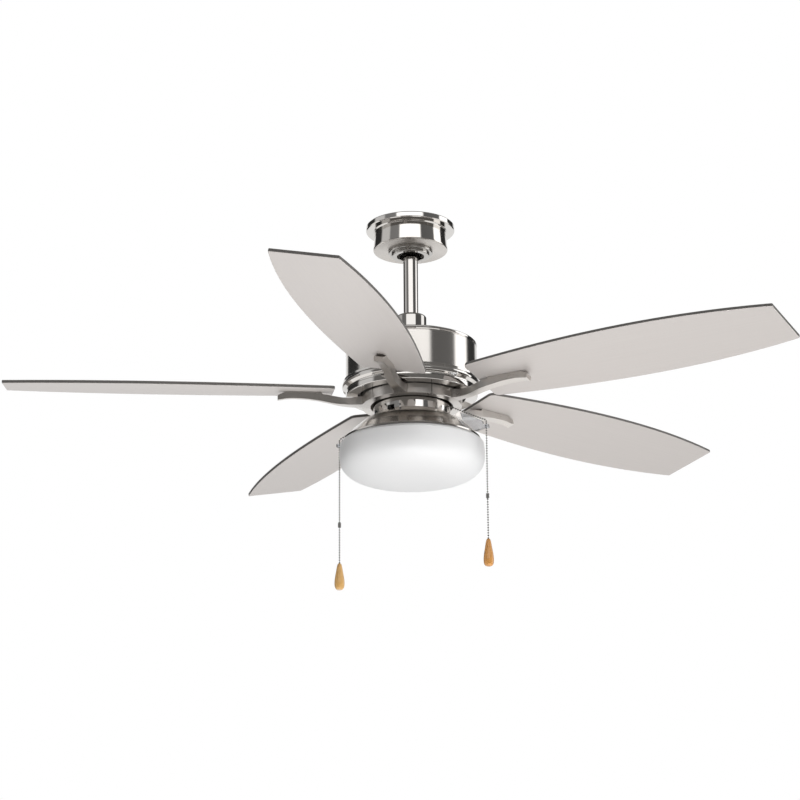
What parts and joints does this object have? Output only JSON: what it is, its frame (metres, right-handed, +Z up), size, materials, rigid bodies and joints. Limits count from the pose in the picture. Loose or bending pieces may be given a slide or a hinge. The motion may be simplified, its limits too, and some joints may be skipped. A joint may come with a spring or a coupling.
{
  "type": "ceiling fan with light",
  "caption": "Ceiling fan with pitched silver blades on a short down-rod, a nickel motor housing, an opal glass bowl light and bead pull chains with wooden pulls.",
  "frame": {"origin": "centre of the ceiling bracket's top face, where it lies against the ceiling", "axes": "+Z up, along the down-rod and the blades' spin axis; -Y towards the side with the reversing switch, roughly the side the fan is seen from"},
  "size_m": [1.3019, 1.3314, 0.6312],
  "materials": {
    "brushed_nickel": "satin brushed",
    "polished_nickel": "polished",
    "cast_metal": "as cast",
    "silver_blade": "silver lacquer, satin",
    "zinc_steel": "zinc plated",
    "stator_steel": "dark, matte",
    "copper_winding": "lacquered wire",
    "hanger_ball_nylon": "matte",
    "black_plastic": "matte",
    "porcelain": "glazed porcelain, opaque",
    "opal_glass": "etched opal, unlit, opaque",
    "frosted_lamp": "frosted diffuser",
    "clear_plastic": "clear",
    "honey_wood": "varnished"
  },
  "bodies": {
    "ceiling_mount": {"hanger_bracket": "zinc_steel", "canopy": "brushed_nickel", "canopy_trim_ring": "polished_nickel", "canopy_screw_1": "zinc_steel", "canopy_screw_2": "zinc_steel"},
    "fan_body": {"hanger_ball": "hanger_ball_nylon", "ball_pin": "zinc_steel", "downrod": "polished_nickel", "motor_coupling": "cast_metal", "coupling_pin": "zinc_steel", "coupling_cover": "polished_nickel", "motor_housing": "brushed_nickel", "housing_lower_ring": "polished_nickel", "motor_shaft": "zinc_steel", "stator_core": "stator_steel", "stator_winding": "copper_winding", "switch_housing": "polished_nickel", "shaft_nut": "zinc_steel", "reversing_switch": "black_plastic", "fan_switch": "black_plastic", "light_switch": "black_plastic", "light_fitter_pan": "brushed_nickel", "fitter_screw_1": "zinc_steel", "fitter_screw_2": "zinc_steel", "fitter_screw_3": "zinc_steel", "lamp_plate": "zinc_steel", "lampholder_1": "porcelain", "lampholder_2": "porcelain", "lamp_1": "frosted_lamp", "lamp_2": "frosted_lamp", "glass_bowl": "opal_glass", "glass_clip_1": "zinc_steel", "glass_clip_2": "zinc_steel", "glass_clip_3": "zinc_steel", "fan_chain_guide": "clear_plastic", "light_chain_guide": "clear_plastic", "fan_chain_feed": "zinc_steel", "light_chain_feed": "zinc_steel"},
    "rotor": {"rotor_upper_shell": "cast_metal", "rotor_lower_shell": "cast_metal", "rotor_ring": "stator_steel", "upper_bearing": "zinc_steel", "lower_bearing": "zinc_steel", "blade_iron_1": "brushed_nickel", "blade_iron_2": "brushed_nickel", "blade_iron_3": "brushed_nickel", "blade_iron_4": "brushed_nickel", "blade_iron_5": "brushed_nickel", "blade_1": "silver_blade", "blade_2": "silver_blade", "blade_3": "silver_blade", "blade_4": "silver_blade", "blade_5": "silver_blade"},
    "reverse_button": {"reversing_slider": "black_plastic"},
    "fan_pull": {"fan_pull_chain": "zinc_steel", "fan_chain_connector": "zinc_steel", "fan_pendant": "honey_wood"},
    "light_pull": {"light_pull_chain": "zinc_steel", "light_chain_connector": "zinc_steel", "light_pendant": "honey_wood"}
  },
  "joints": [
    {"name": "hanger_sway", "type": "hinge", "parent": "ceiling_mount", "child": "fan_body", "pos_m": [0, 0, -0.028], "axis": [1, 0, 0], "range_deg": [-18, 18]},
    {"name": "fan_spin", "type": "hinge", "parent": "fan_body", "child": "rotor", "pos_m": [0, 0, -0.303], "axis": [0, 0, 1], "continuous": true},
    {"name": "fan_pull_slide", "type": "slide", "parent": "fan_body", "child": "fan_pull", "axis": [0, 0, -1], "range_m": [0, 0.012], "stiffness_N_per_m": 150, "springref_m": -0.004},
    {"name": "light_pull_slide", "type": "slide", "parent": "fan_body", "child": "light_pull", "axis": [0, 0, -1], "range_m": [0, 0.012], "stiffness_N_per_m": 150, "springref_m": -0.004},
    {"name": "reverse_slide", "type": "slide", "parent": "fan_body", "child": "reverse_button", "axis": [0.8425, -0.5388, 0], "range_m": [0, 0.006]}
  ]
}
